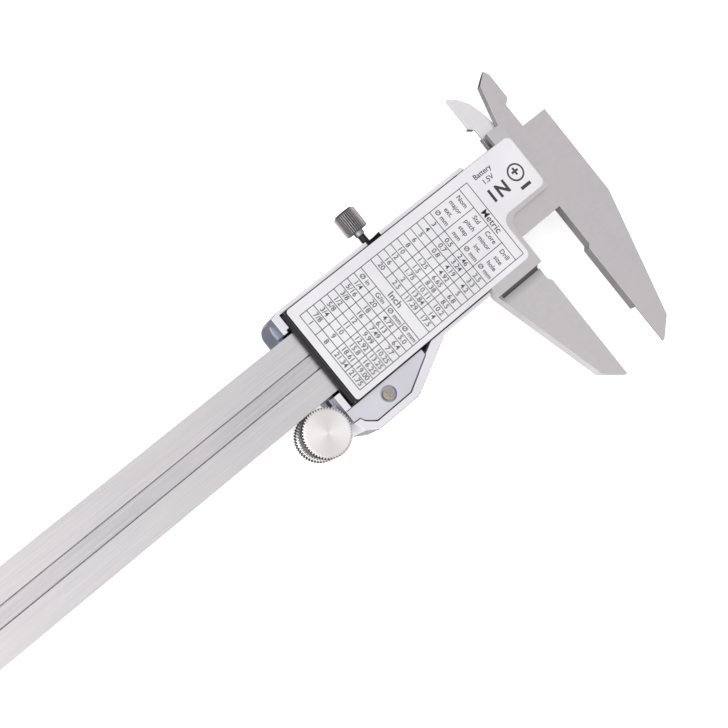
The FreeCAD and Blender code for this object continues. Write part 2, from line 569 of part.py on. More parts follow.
def makeDisplay():
    """The window, the liquid crystal glass, the frame that holds it and its contact strips."""
    left, right = "-windowX - windowWide / 2", "-windowX + windowWide / 2"
    low, high = "windowY - windowHigh / 2", "windowY + windowHigh / 2"
    pane = block("WindowPane", f"{left} + fitGap", f"{low} + fitGap", "-panelZ", f"{right} - fitGap",
                 f"{high} - fitGap", "-caseFloor")
    rim = block("WindowRim", f"{left} - 0.8", f"{low} - 0.8", "-caseFloor", f"{right} + 0.8",
                f"{high} + 0.8", "-caseFloor + 0.4")
    finishPart(combine("MultiFuse", "WindowSolid", [pane, rim]), "lcd_window", SLIDER)
    glass = ("-windowX - lcdWide / 2", "windowY - lcdHigh / 2", "-windowX + lcdWide / 2",
             "windowY + lcdHigh / 2")
    slab("lcd_glass", SLIDER, glass[0], glass[1], "-lcdFace", glass[2], glass[3], "-lcdFace + lcdThick")
    outer = block("HolderOuter", f"{glass[0]} - 1", f"{glass[1]} - 1", "-caseFloor + 0.45", f"{glass[2]} + 1",
                  f"{glass[3]} + 1", "-lcdFace + 4")
    inner = block("HolderInner", f"{glass[0]} - fitGap", f"{glass[1]} - fitGap", "-caseFloor",
                  f"{glass[2]} + fitGap", f"{glass[3]} + fitGap", "-lcdFace + 5")
    finishPart(cut("HolderCut", outer, inner), "lcd_holder", SLIDER)
    top = "-railLow - boardThick"
    strips = []
    for along in (f"{glass[1]} + 0.3", f"{glass[3]} - 1.9"):
        strips.append(block("Strip" + str(len(strips) + 1), f"{glass[0]} + 1", along, "-lcdFace + lcdThick",
                            f"{glass[2]} - 3.6", f"{along} + 1.6", top))
    group = combine("Compound", "contact_strips", strips)
    group.Label = "contact_strips"
    place(group, SLIDER)


def makeButtons():
    """Three buttons with flanges inside the panel, and the rubber pad that returns them."""
    for label, across in zip(BUTTON_NAMES, BUTTONS):
        body = newBody(label, SLIDER, (across, "-buttonY", "0"))
        cap = pad(body, "Cap", rectangle("-buttonWide / 2", "-buttonHigh / 2", "buttonWide / 2", "buttonHigh / 2"),
                  "-buttonOut", "-buttonIn")
        wide, high = size("buttonWide") / 2, size("buttonHigh") / 2
        roundCorners(body, "CapCorners", cap, [(-wide, -high), (-wide, high), (wide, -high), (wide, high)], "0.8")
        pad(body, "Flange", rectangle("-buttonWide / 2 - 0.6", "-buttonHigh / 2 - 0.6", "buttonWide / 2 + 0.6",
                                      "buttonHigh / 2 + 0.6"), "-caseFloor + 0.02", "-caseFloor + 0.8")
    top = "-railLow - boardThick"
    pieces = [block("PadBase", "-buttonFirst - 2 * buttonPitch - 3", "-buttonY - 2.6", f"{top} - 1",
                    "-buttonFirst + 2.4", "-buttonY + 2.6", top)]
    for number, across in enumerate(BUTTONS, start=1):
        pieces.append(block(f"PadPillar{number}", f"{across} - 2", "-buttonY - 1.5",
                            "-buttonIn + buttonTravel + 0.1", f"{across} + 2", "-buttonY + 1.5", f"{top} - 0.5"))
    finishPart(combine("MultiFuse", "PadSolid", pieces), "button_pad", SLIDER)


def makeBattery():
    """The button cell, its two contact springs and the door that slides towards the tail."""
    case = rod("CellCase", "-cellX", "-cellY", "-cellFace", "cellR", "cellThick - 0.5")
    cap = rod("CellCap", "-cellX", "-cellY", "-cellFace + cellThick - 0.5", "cellR - 0.7", "0.5")
    finishPart(combine("MultiFuse", "CellSolid", [case, cap]), "battery", SLIDER)
    cellTop = "-cellFace + cellThick"
    board = "-railLow - boardThick"
    blade = block("MinusBlade", "-cellX - 1.5", "-cellY - 2", cellTop, "-cellX + 1.5", "-10", f"{cellTop} + 0.3")
    riser = block("MinusRiser", "-cellX - 1.5", "-10.3", cellTop, "-cellX + 1.5", "-10", board)
    finishPart(combine("MultiFuse", "MinusSolid", [blade, riser]), "battery_contact_minus", SLIDER)
    slab("battery_contact_plus", SLIDER, "-cellX - 1.5", "-cellY + cellR", "-cellFace + 1", "-cellX + 1.5",
         "-cellY + cellR + 0.3", board)
    body = newBody("battery_door", SLIDER)
    pad(body, "DoorPlate", [
        ("-doorLeft", "-bandLow - 0.6"), ("-bulgeLeft + 0.2", "-bandLow - 1.6"),
        ("-bulgeLeft + 0.2", "-doorLow + 0.1"), ("-doorRight - 0.1", "-doorLow + 0.1"),
        ("-doorRight - 0.1", "-doorTop - 0.1"), ("-doorLeft", "-doorTop - 0.1"),
    ], "-caseFront + 0.1", "-panelZ + 0.28")


# ---------------------------------------------------------------- thumb roller and lock

def makeRoller():
    body = newBody("thumb_roller", SLIDER, ("-rollerX", "-rollerY", "0"))
    turn(body, "RollerTurn", "XZ_Plane", [
        ("0", "-rollerLow"), ("rollerR - 0.3", "-rollerLow"), ("rollerR", "-rollerLow + 0.3"),
        ("rollerR", "-springLow - 0.6"), ("rollerR - 0.3", "-springLow - 0.3"), ("hubR", "-springLow - 0.3"),
        ("hubR", "rollerTop - rollerFlange"), ("rollerR - 0.3", "rollerTop - rollerFlange"),
        ("rollerR", "rollerTop - rollerFlange + 0.3"), ("rollerR", "rollerTop - 0.3"),
        ("rollerR - 0.3", "rollerTop"), ("0", "rollerTop"),
    ])


def makeRollerSpring():
    """A spring strip that hooks round the roller's hub and is fixed to the housing's tail."""
    body = newBody("roller_spring", SLIDER)
    hook = [("-rollerX", "-rollerY", "hubR + hookGap + hookThick"), ("-rollerX", "-rollerY", "hubR + hookGap")]
    roundPad(body, "Hook", hook, "-springLow", "-springTop")
    outer = "-rollerY + hubR + hookGap + hookThick"
    pad(body, "Arm", rectangle("-rollerX", f"{outer} - hookThick", "-caseStep - 0.02", outer),
        "-springLow", "-springTop")
    pad(body, "Foot", rectangle("-caseStep - hookThick", "-rollerY + 1.2", "-caseStep - 0.02", "-beamWay"),
        "-springLow", "-springTop - 0.4")


def makeLock():
    """The knurled lock screw and the shoe that it pushes on to the gib strip."""
    screw = newBody("lock_screw", SLIDER, ("-lockX", "0", "-lockZ"))
    turn(screw, "ScrewTurn", "XY_Plane", [
        ("0", "shoeTop"), ("lockStem", "shoeTop"), ("lockStem", "lockHeadLow"), ("lockHead - 0.3", "lockHeadLow"),
        ("lockHead", "lockHeadLow + 0.3"), ("lockHead", "lockHeadTop - 0.3"), ("lockHead - 0.3", "lockHeadTop"),
        ("0", "lockHeadTop"),
    ])
    shoe = newBody("lock_shoe", SLIDER, ("-lockX", "0", "-lockZ"))
    turn(shoe, "ShoeTurn", "XY_Plane", [
        ("0", "shoeFace"), ("lockStem", "shoeFace"), ("lockStem", "shoeTop"), ("0", "shoeTop"),
    ])


# ---------------------------------------------------------------- build, check and write

def nodes():
    """The labelled bodies and groups that are pieces of the caliper."""
    bodies = [item for item in doc.Objects if item.TypeId == "PartDesign::Body"]
    groups = [item for item in doc.Objects if item.TypeId == "Part::Compound"]
    return bodies + groups


makeBeam()
makeScale()
makeEndStop()
makeEndStopScrews()
makeSliderFrame()
makeGib()
makeLabel()
makeDepthRod()
makeFrontHousing()
makeBackCover()
makeSliderScrews()
makeBoard()
makeDisplay()
makeButtons()
makeBattery()
makeRoller()
makeRollerSpring()
makeLock()
doc.recompute()

broken = [f"{item.Name}: {item.State}" for item in doc.Objects
          if "Invalid" in item.State or "Error" in item.State]
for node in nodes():
    if node.Shape.isNull() or not node.Shape.isValid() or not node.Shape.Solids:
        broken.append(f"{node.Label}: bad shape")
if broken:
    raise RuntimeError("; ".join(broken))

os.makedirs("parts", exist_ok=True)
for node in nodes():
    node.Shape.exportStep(f"parts/{node.Label}.step")
    box = node.Shape.BoundBox
    print(f"{node.Label:24s} solids {len(node.Shape.Solids)}  volume {node.Shape.Volume:9.2f}  "
          f"x {box.XMin:8.2f} {box.XMax:8.2f}  y {box.YMin:7.2f} {box.YMax:7.2f}  z {box.ZMin:6.2f} {box.ZMax:6.2f}")
print(len(nodes()), "pieces")
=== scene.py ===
import math

import bmesh
import bpy
from mathutils import Matrix, Vector


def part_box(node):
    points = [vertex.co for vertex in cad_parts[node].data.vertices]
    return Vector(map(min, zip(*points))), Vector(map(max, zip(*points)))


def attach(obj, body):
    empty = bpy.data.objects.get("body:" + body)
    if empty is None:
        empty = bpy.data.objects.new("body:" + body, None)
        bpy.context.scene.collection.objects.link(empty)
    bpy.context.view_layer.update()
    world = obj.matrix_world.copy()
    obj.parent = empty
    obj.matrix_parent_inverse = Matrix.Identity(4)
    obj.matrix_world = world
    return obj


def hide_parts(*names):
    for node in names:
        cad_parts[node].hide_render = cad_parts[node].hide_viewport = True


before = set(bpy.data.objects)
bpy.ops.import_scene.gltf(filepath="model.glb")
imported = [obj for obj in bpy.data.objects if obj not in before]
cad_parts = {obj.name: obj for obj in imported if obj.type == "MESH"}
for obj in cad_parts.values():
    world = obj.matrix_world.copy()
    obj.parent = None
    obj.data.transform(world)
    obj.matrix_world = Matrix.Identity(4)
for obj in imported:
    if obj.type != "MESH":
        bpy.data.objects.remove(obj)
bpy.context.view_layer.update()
mm = 0.001

# the two drawing frames: x from the jaw faces, y from the middle of the beam, z from the beam's back
labelLow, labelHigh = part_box("back_label")
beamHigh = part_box("beam")[1]
sliderFrame = Vector((labelHigh.x - 13.4 * mm, (labelLow.y + labelHigh.y) / 2, beamHigh.z))
beamFrame = Vector((beamHigh.x - 13.9 * mm, sliderFrame.y, beamHigh.z))


def onSlider(x, y, z):
    return sliderFrame + Vector((x, y, z)) * mm


def onBeam(x, y, z):
    return beamFrame + Vector((x, y, z)) * mm


# materials
finishes = {}


def newFinish(name, colour, metallic, roughness):
    material = bpy.data.materials.new(name)
    material.use_nodes = True
    shader = material.node_tree.nodes["Principled BSDF"]
    shader.inputs["Base Color"].default_value = (*colour, 1)
    shader.inputs["Metallic"].default_value = metallic
    shader.inputs["Roughness"].default_value = roughness
    finishes[name] = material
    return material, shader


def addNode(material, kind, **settings):
    node = material.node_tree.nodes.new(kind)
    for key, value in settings.items():
        if key[0].isupper():
            node.inputs[key].default_value = value
        else:
            setattr(node, key, value)
    return node


def join(material, source, target):
    material.node_tree.links.new(source, target)


def place(material, scale, centre=(0, 0, 0)):
    coords = addNode(material, "ShaderNodeTexCoord")
    mapping = addNode(material, "ShaderNodeMapping")
    mapping.inputs["Location"].default_value = [-c * s for c, s in zip(centre, scale)]
    mapping.inputs["Scale"].default_value = scale
    join(material, coords.outputs["Object"], mapping.inputs["Vector"])
    return mapping.outputs["Vector"]


def noise(material, vector, detail=3.0, roughness=0.6, size=1.0):
    texture = addNode(material, "ShaderNodeTexNoise", Scale=size, Detail=detail, Roughness=roughness)
    join(material, vector, texture.inputs["Vector"])
    return texture.outputs["Fac"]


def spread(material, value, low, high, fromLow=0.3, fromHigh=0.7):
    node = addNode(material, "ShaderNodeMapRange")
    for socket, number in (("From Min", fromLow), ("From Max", fromHigh), ("To Min", low), ("To Max", high)):
        node.inputs[socket].default_value = number
    join(material, value, node.inputs["Value"])
    return node.outputs["Result"]


def blendColours(material, amount, first, second):
    node = addNode(material, "ShaderNodeMix", data_type="RGBA")
    for socket, colour in ((6, first), (7, second)):
        if isinstance(colour, tuple):
            node.inputs[socket].default_value = (*colour, 1)
        else:
            join(material, colour, node.inputs[socket])
    join(material, amount, node.inputs[0])
    return node.outputs[2]


def emboss(material, shader, height, strength, distance):
    node = addNode(material, "ShaderNodeBump", Strength=strength, Distance=distance)
    join(material, height, node.inputs["Height"])
    join(material, node.outputs["Normal"], shader.inputs["Normal"])


# steel with fine drawn lines; grain gives the lines' size along x, y and z
def brushedSteel(name, dark, light, grain, metallic=1.0, roughness=(0.26, 0.4), patch=0.5, strength=0.25):
    material, shader = newFinish(name, light, metallic, 0.3)
    lines = noise(material, place(material, grain), 4, 0.65)
    clouds = noise(material, place(material, (45, 60, 60)), 2, 0.5)
    fine = blendColours(material, spread(material, lines, 0, 1), dark, light)
    warm = tuple(c * f for c, f in zip(light, (1.0, 0.985, 0.965)))
    amount = spread(material, clouds, 0, patch)
    join(material, blendColours(material, amount, fine, warm), shader.inputs["Base Color"])
    join(material, spread(material, lines, *roughness), shader.inputs["Roughness"])
    emboss(material, shader, lines, strength, 0.00002)
    return material


# plated or painted castings and mouldings: a fine even grain
def castFinish(name, dark, light, metallic, roughness, size=2600, strength=0.2):
    material, shader = newFinish(name, light, metallic, 0.4)
    grain = noise(material, place(material, (size, size, size)), 3, 0.6)
    clouds = noise(material, place(material, (70, 70, 70)), 2, 0.5)
    tone = spread(material, clouds, 0, 1)
    join(material, blendColours(material, tone, dark, light), shader.inputs["Base Color"])
    join(material, spread(material, grain, *roughness), shader.inputs["Roughness"])
    emboss(material, shader, grain, strength, 0.00002)
    return material


brushedSteel("beamSteel", (0.59, 0.575, 0.59), (0.69, 0.68, 0.69), (60, 5200, 5200), strength=0.14)
brushedSteel("jawSteel", (0.585, 0.56, 0.57), (0.625, 0.605, 0.615), (500, 900, 500), roughness=(0.34, 0.4),
             patch=0.7, strength=0.05)
brushedSteel("rodSteel", (0.48, 0.47, 0.49), (0.66, 0.65, 0.67), (60, 5200, 5200))
material = brushedSteel("movingSteelPaintedShade", (0.6, 0.585, 0.59), (0.65, 0.635, 0.64), (500, 900, 500),
                        roughness=(0.34, 0.4), patch=0.7, strength=0.05)
shader = material.node_tree.nodes["Principled BSDF"]
steelColour = shader.inputs["Base Color"].links[0].from_socket
# painted shade: the moving jaw's face is darkest at the root groove below the plate's band and fades back to bare
# steel about 3 mm further down
parts = addNode(material, "ShaderNodeSeparateXYZ")
join(material, place(material, (1, 1, 1), (0, sliderFrame.y, 0)), parts.inputs[0])
shade = spread(material, parts.outputs["Y"], 0.0, 1.0, -18.2 * mm, -15.7 * mm)
above = spread(material, parts.outputs["Y"], 1.0, 0.0, -15.2 * mm, -15.1 * mm)
both = addNode(material, "ShaderNodeMath", operation="MULTIPLY")
join(material, shade, both.inputs[0])
join(material, above, both.inputs[1])
shaded = blendColours(material, both.outputs[0], steelColour, (0.36, 0.345, 0.35))
join(material, shaded, shader.inputs["Base Color"])
# painted shade: a dark copy of the steel for the jaws' side walls
castFinish("wallPaintedShade", (0.22, 0.21, 0.215), (0.31, 0.3, 0.305), 0.15, (0.4, 0.5))
# the hollow-ground face: finer grinding lines, and a much lighter colour that is a painted highlight
brushedSteel("hollowGroundHighlight", (0.84, 0.82, 0.83), (0.9, 0.89, 0.9), (300, 900, 900),
             roughness=(0.28, 0.34), patch=0.3, strength=0.04)
# painted light: a lighter copy of the steel for the outside jaw's outer wall, which faces the bright floor
castFinish("wallPaintedLight", (0.54, 0.53, 0.53), (0.62, 0.61, 0.61), 0.1, (0.4, 0.5))
# painted light: a near-white copy of the case metal for the thumb rest's walls
castFinish("restPaintedLight", (0.9, 0.9, 0.91), (0.95, 0.95, 0.96), 0.0, (0.4, 0.5))
castFinish("labelPlate", (0.72, 0.72, 0.745), (0.8, 0.8, 0.82), 0.25, (0.32, 0.42), 3400, 0.1)
castFinish("caseMetal", (0.74, 0.74, 0.78), (0.84, 0.84, 0.87), 0.55, (0.28, 0.4))
# painted shade and reflection: a darker blue-grey copy of the case metal for the housing's tail walls and the cover
# screw's sink
castFinish("caseWall", (0.4, 0.43, 0.52), (0.54, 0.57, 0.67), 0.7, (0.3, 0.42))
castFinish("coverPaint", (0.58, 0.58, 0.63), (0.65, 0.65, 0.7), 0.4, (0.34, 0.46))
# painted shade: black for the rod groove's walls, the plate's rim, the gaps beside the label and the lock's slot; the
# tail felt is black in its own right
castFinish("shadeAndFeltBlack", (0.006, 0.006, 0.007), (0.014, 0.014, 0.016), 0.0, (0.6, 0.8))
castFinish("inkBlack", (0.02, 0.02, 0.023), (0.045, 0.045, 0.05), 0.0, (0.45, 0.6))
castFinish("inkWhite", (0.75, 0.75, 0.75), (0.85, 0.85, 0.85), 0.0, (0.45, 0.6))
castFinish("lockDark", (0.3, 0.29, 0.3), (0.46, 0.44, 0.45), 0.95, (0.22, 0.34))
# painted shade: the root groove on the moving jaw is painted dark grey
castFinish("grooveShadeGrey", (0.1, 0.095, 0.1), (0.15, 0.145, 0.15), 0.1, (0.4, 0.5))
# painted shade: the grooves between knurl teeth are painted near black
castFinish("knurlShadeDark", (0.035, 0.033, 0.033), (0.07, 0.066, 0.066), 0.9, (0.35, 0.5))
# painted shade: a near-black copy of the lock screw's steel for its stem in the slot
castFinish("stemShadeDark", (0.03, 0.03, 0.033), (0.07, 0.07, 0.075), 0.9, (0.25, 0.4))
castFinish("screwPlate", (0.3, 0.27, 0.2), (0.68, 0.62, 0.5), 1.0, (0.14, 0.3), 1400)
castFinish("springSteel", (0.3, 0.33, 0.4), (0.5, 0.53, 0.6), 1.0, (0.2, 0.35))
castFinish("brassStrip", (0.62, 0.46, 0.2), (0.78, 0.6, 0.3), 1.0, (0.25, 0.4))
castFinish("boardGreen", (0.02, 0.12, 0.06), (0.03, 0.18, 0.09), 0.0, (0.3, 0.5))
castFinish("foilBlack", (0.012, 0.012, 0.014), (0.02, 0.02, 0.024), 0.0, (0.2, 0.3))
castFinish("resinBlack", (0.01, 0.01, 0.01), (0.02, 0.02, 0.02), 0.0, (0.12, 0.2))
castFinish("holderWhite", (0.78, 0.78, 0.76), (0.86, 0.86, 0.84), 0.0, (0.4, 0.55))
castFinish("padRubber", (0.08, 0.085, 0.09), (0.12, 0.125, 0.13), 0.0, (0.6, 0.8))
castFinish("cellSteel", (0.6, 0.59, 0.56), (0.76, 0.75, 0.72), 1.0, (0.15, 0.28))
castFinish("doorGrey", (0.05, 0.053, 0.06), (0.075, 0.08, 0.09), 0.0, (0.4, 0.55))
castFinish("buttonGrey", (0.045, 0.05, 0.06), (0.07, 0.075, 0.085), 0.0, (0.3, 0.4))
castFinish("buttonYellow", (0.78, 0.42, 0.03), (0.86, 0.5, 0.05), 0.0, (0.3, 0.4))
castFinish("screenGrey", (0.33, 0.37, 0.3), (0.37, 0.41, 0.34), 0.0, (0.15, 0.25))

# turned face of the roller: fine rings, and a painted sheen in the colour that fans out from the middle
rollerAt = onSlider(-65.3, -13.72, 0)
material, shader = newFinish("rollerFace", (0.78, 0.76, 0.74), 1.0, 0.26)
vector = place(material, (1, 1, 1), rollerAt)
parts = addNode(material, "ShaderNodeSeparateXYZ")
join(material, vector, parts.inputs[0])
angle = addNode(material, "ShaderNodeMath", operation="ARCTAN2")
join(material, parts.outputs["Y"], angle.inputs[0])
join(material, parts.outputs["X"], angle.inputs[1])
fan = addNode(material, "ShaderNodeMath", operation="MULTIPLY_ADD")
join(material, angle.outputs[0], fan.inputs[0])
fan.inputs[1].default_value = 2.0
fan.inputs[2].default_value = 1.1
wave = addNode(material, "ShaderNodeMath", operation="COSINE")
join(material, fan.outputs[0], wave.inputs[0])
paintedSheen = spread(material, wave.outputs[0], 0.0, 1.0, -1.0, 1.0)
join(material, blendColours(material, paintedSheen, (0.79, 0.77, 0.75), (0.97, 0.95, 0.94)), shader.inputs["Base Color"])
rings = addNode(material, "ShaderNodeTexWave", wave_type="RINGS", rings_direction="Z", Scale=700.0, Distortion=0.6)
join(material, vector, rings.inputs["Vector"])
emboss(material, shader, rings.outputs["Fac"], 0.12, 0.00002)
brushedSteel("rollerRim", (0.3, 0.28, 0.27), (0.6, 0.57, 0.55), (900, 900, 900), roughness=(0.2, 0.35))

material, shader = newFinish("windowClear", (0.93, 0.96, 0.95), 0.0, 0.03)
shader.inputs["Transmission Weight"].default_value = 1.0
shader.inputs["IOR"].default_value = 1.45
print("materials made:", len(finishes))


# tools used for every piece
def onlySelect(piece):
    if bpy.context.object and bpy.context.object.mode != "OBJECT":
        bpy.ops.object.mode_set(mode="OBJECT")
    bpy.ops.object.select_all(action="DESELECT")
    piece.select_set(True)
    bpy.context.view_layer.objects.active = piece


def edit(piece, kind="FACE"):
    onlySelect(piece)
    bpy.ops.object.mode_set(mode="EDIT")
    bpy.ops.mesh.select_mode(type=kind)
    bpy.ops.mesh.select_all(action="DESELECT")


# selects the faces, edges or corners whose place passes the test; the piece is in edit mode
def pick(piece, kind, test):
    mesh = bmesh.from_edit_mesh(piece.data)
    mesh.select_mode = {kind}
    for group in (mesh.verts, mesh.edges, mesh.faces):
        for item in group:
            item.select = False
    group = {"VERT": mesh.verts, "EDGE": mesh.edges, "FACE": mesh.faces}[kind]
    for item in [i for i in group if test(i)]:
        item.select_set(True)
    mesh.select_flush_mode()
    bmesh.update_edit_mesh(piece.data)


def leave():
    bpy.ops.object.mode_set(mode="OBJECT")


def bevelEdges(piece, width, segments=2, angle=32):
    onlySelect(piece)
    bevel = piece.modifiers.new("edges", "BEVEL")
    bevel.width = width
    bevel.segments = segments
    bevel.limit_method = "ANGLE"
    bevel.angle_limit = math.radians(angle)
    bevel.use_clamp_overlap = False
    bpy.ops.object.modifier_apply(modifier="edges")


def settle(piece):
    onlySelect(piece)
    bpy.ops.object.transform_apply(location=True, rotation=True, scale=True)


def joinPieces(pieces):
    bpy.ops.object.select_all(action="DESELECT")
    for piece in pieces:
        piece.select_set(True)
    bpy.context.view_layer.objects.active = pieces[0]
    if len(pieces) > 1:
        bpy.ops.object.join()
    return bpy.context.view_layer.objects.active


def finish(piece, name, finishName, body, nodes=(), smooth=50):
    onlySelect(piece)
    piece.name = name
    piece.data.name = name
    if finishName:
        piece.data.materials.clear()
        piece.data.materials.append(finishes[finishName])
    bpy.ops.object.shade_smooth_by_angle(angle=math.radians(smooth))
    weighted = piece.modifiers.new("flat faces", "WEIGHTED_NORMAL")
    weighted.keep_sharp = True
    bpy.ops.object.modifier_apply(modifier="flat faces")
    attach(piece, body)
    if nodes:
        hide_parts(*nodes)
    return piece


# a copy of a node's mesh, merged into clean faces, with its sharp edges broken
def copyNode(node, width, segments=2, reshape=None):
    onlySelect(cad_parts[node])
    bpy.ops.object.duplicate()
    piece = bpy.context.view_layer.objects.active
    for key in list(piece.keys()):
        del piece[key]
    piece.parent = None
    piece.data.materials.clear()
    edit(piece)
    bpy.ops.mesh.select_all(action="SELECT")
    bpy.ops.mesh.remove_doubles(threshold=0.000002)
    bpy.ops.mesh.dissolve_limited(angle_limit=math.radians(0.6))
    if reshape:
        reshape(piece)
    leave()
    if width:
        bevelEdges(piece, width, segments)
    return piece


# lays finishes on the faces of a piece: each rule is a finish and a test of a face's middle and normal
def paintFaces(piece, base, rules):
    piece.data.materials.clear()
    piece.data.materials.append(finishes[base])
    for number, (finishName, test) in enumerate(rules, start=1):
        piece.data.materials.append(finishes[finishName])
        for face in piece.data.polygons:
            if test(face.center, face.normal):
                face.material_index = number


# cuts the faces that cross a plane, so each side can have its own finish
def splitFaces(piece, place, across):
    edit(piece)
    bpy.ops.mesh.select_all(action="SELECT")
    bpy.ops.mesh.bisect(plane_co=place, plane_no=across)
    leave()


# a second piece with its own mesh, moved from the first
def copyPiece(piece, move):
    twin = piece.copy()
    twin.data = piece.data.copy()
    bpy.context.collection.objects.link(twin)
    for corner in twin.data.vertices:
        corner.co += move
    return twin


# a box between two corners
def bar(low, high):
    bpy.ops.mesh.primitive_cube_add(size=1, location=(low + high) / 2, scale=high - low)
    piece = bpy.context.active_object
    settle(piece)
    return piece


# flat lettering as a mesh, its capitals about height tall
def words(text, place, height, turn, thick, bold=0.0, align="CENTER"):
    bpy.ops.object.text_add(location=place, rotation=turn)
    piece = bpy.context.active_object
    piece.data.body = text
    piece.data.size = height * 1.38
    piece.data.align_x = align
    piece.data.align_y = "CENTER"
    piece.data.extrude = thick / 2
    piece.data.offset = bold
    piece.data.resolution_u = 3
    bpy.ops.object.convert(target="MESH")
    settle(piece)
    return piece


# the beam and its jaws
def isWall(normal):
    return abs(normal.z) < 0.35


# the fixed inside jaw's measuring side leans out towards the front
def slopeInsideJaw(piece):
    pick(piece, "VERT", lambda corner: corner.co.z < beamFrame.z - 1.3 * mm and corner.co.z > beamFrame.z - 1.6 * mm
         and onBeam(0, 14, 0).y < corner.co.y and corner.co.x < onBeam(5, 0, 0).x)
    bpy.ops.transform.translate(value=(-0.38 * mm, 0, 0))


piece = copyNode("beam", 0.06 * mm, reshape=slopeInsideJaw)
jawStart = onBeam(-16, 0, 0).x
splitFaces(piece, (jawStart, 0, 0), (1, 0, 0))
bladeTop = onBeam(0, 25, 0).y
# painted shade: the jaws' side walls get the dark wall copy of the steel, and the walls of the rod's groove are
# painted black
paintFaces(piece, "beamSteel", (
    ("jawSteel", lambda middle, normal: middle.x > jawStart),
    ("wallPaintedShade", lambda middle, normal: middle.x > jawStart and isWall(normal)
     and not (middle.y > bladeTop and normal.y > 0.3)),
    ("shadeAndFeltBlack", lambda middle, normal: middle.x < jawStart and isWall(normal)
     and abs(middle.y - beamFrame.y) < 3 * mm and middle.z > beamFrame.z - 1.7 * mm)))
finish(piece, "beam_bar", None, "beam", ["beam"])

piece = copyNode("slider_frame", 0.06 * mm)
plateSplit = {"root": -14.2, "strip": -3.1}
for x in plateSplit.values():
    splitFaces(piece, onSlider(x, 0, 0), (1, 0, 0))
splitFaces(piece, sliderFrame, (0, 1, 0))


# painted shade: the plate's rim is painted black beside the housing and left bare steel towards the jaws
def isBlackRim(middle):
    end = plateSplit["strip"] if middle.y > sliderFrame.y else plateSplit["root"]
    return (middle.x < onSlider(end, 0, 0).x and middle.z > sliderFrame.z - 0.2 * mm
            and middle.y > onSlider(0, -12.7, 0).y)


grooveLow, grooveHigh = onSlider(-13, -16.15, -0.6), onSlider(0.2, -15.05, 0.3)
# painted shade on the side walls, in the root groove and on the plate's rim; painted light on the outside jaw's outer
# wall and a painted highlight on the hollow-ground face
paintFaces(piece, "movingSteelPaintedShade", (
    ("wallPaintedShade", lambda middle, normal: isWall(normal)),
    ("wallPaintedLight", lambda middle, normal: isWall(normal) and normal.x < -0.5 and middle.y < onSlider(0, -13, 0).y
     and middle.x < onSlider(-1.5, 0, 0).x),
    ("hollowGroundHighlight", lambda middle, normal: normal.z > 0.35 and middle.y > onSlider(0, 12.3, 0).y
     and middle.z < sliderFrame.z - 1 * mm),
    ("grooveShadeGrey", lambda middle, normal: grooveLow.x < middle.x < grooveHigh.x
     and grooveLow.y < middle.y < grooveHigh.y and grooveLow.z < middle.z < grooveHigh.z),
    ("shadeAndFeltBlack", lambda middle, normal: isBlackRim(middle))))
finish(piece, "slider_steel", None, "slider", ["slider_frame"])

# room on both sides of the rod, so its edges show as dark lines
def narrowRod(piece):
    pick(piece, "FACE", lambda face: True)
    low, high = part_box("depth_rod")
    middle = (low + high) / 2
    bpy.ops.transform.resize(value=(1, 0.9, 1), center_override=(middle.x, middle.y, high.z))


piece = copyNode("depth_rod", 0.05 * mm, reshape=narrowRod)
finish(piece, "depth_rod_bar", "rodSteel", "slider", ["depth_rod"])

# felt that wipes the beam where it leaves the slider
piece = bar(onSlider(-57.0, -12.2, 0.06), onSlider(-56.15, 12.2, 1.5))
bevelEdges(piece, 0.15 * mm)
finish(piece, "tail_felt", "shadeAndFeltBlack", "slider")
print("beam, slider and rod done")


# the housing, its cover and the label plate
def nearLock(middle):
    return abs(middle.x - onSlider(-28.8, 0, 0).x) < 2.1 * mm and middle.y > onSlider(0, 11, 0).y


piece = copyNode("front_housing", 0.12 * mm)
# painted shade and reflection: blue-grey on the tail end's walls and ledge; painted shade: black on the walls beside
# the label and round the lock's slot; painted light: near white on the thumb rest's walls
paintFaces(piece, "caseMetal", (
    ("caseWall", lambda middle, normal: middle.x < onSlider(-58.6, 0, 0).x and middle.z < sliderFrame.z + 0.9 * mm
     and middle.z > sliderFrame.z - 12 * mm and (isWall(normal) or normal.z > 0.3)
     and middle.y > onSlider(0, -9, 0).y),
    ("shadeAndFeltBlack", lambda middle, normal: isWall(normal) and abs(middle.y - sliderFrame.y) < 13.0 * mm
     and middle.x > onSlider(-58.6, 0, 0).x and middle.z > sliderFrame.z - 6 * mm),
    ("restPaintedLight", lambda middle, normal: isWall(normal) and middle.y < onSlider(0, -15, 0).y
     and (normal.x < -0.3 or normal.y < -0.8) and middle.x < onSlider(-44, 0, 0).x),
    ("shadeAndFeltBlack", lambda middle, normal: nearLock(middle) and normal.y < 0.5 and middle.z < sliderFrame.z + 1.0 * mm
     and middle.z > sliderFrame.z - 4.6 * mm)))
finish(piece, "display_case", None, "slider", ["front_housing"])


# a little room all round the cover, so its joint shows as a dark line
def shrinkCover(piece):
    pick(piece, "FACE", lambda face: True)
    low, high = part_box("back_cover")
    bpy.ops.transform.resize(value=(0.995, 0.97, 1), center_override=((low.x + high.x) / 2, high.y, high.z))


piece = copyNode("back_cover", 0.1 * mm, reshape=shrinkCover)
screwAt = onSlider(-48.9, -15.8, 0)
# painted shade: the walls and floor of the screw's sink take the blue-grey shaded copy of the case metal
paintFaces(piece, "coverPaint", (
    ("caseWall", lambda middle, normal: (middle.xy - screwAt.xy).length < 1.96 * mm
     and (isWall(normal) or middle.z < sliderFrame.z + 0.3 * mm)),))
finish(piece, "rest_cover", None, "slider", ["back_cover"])

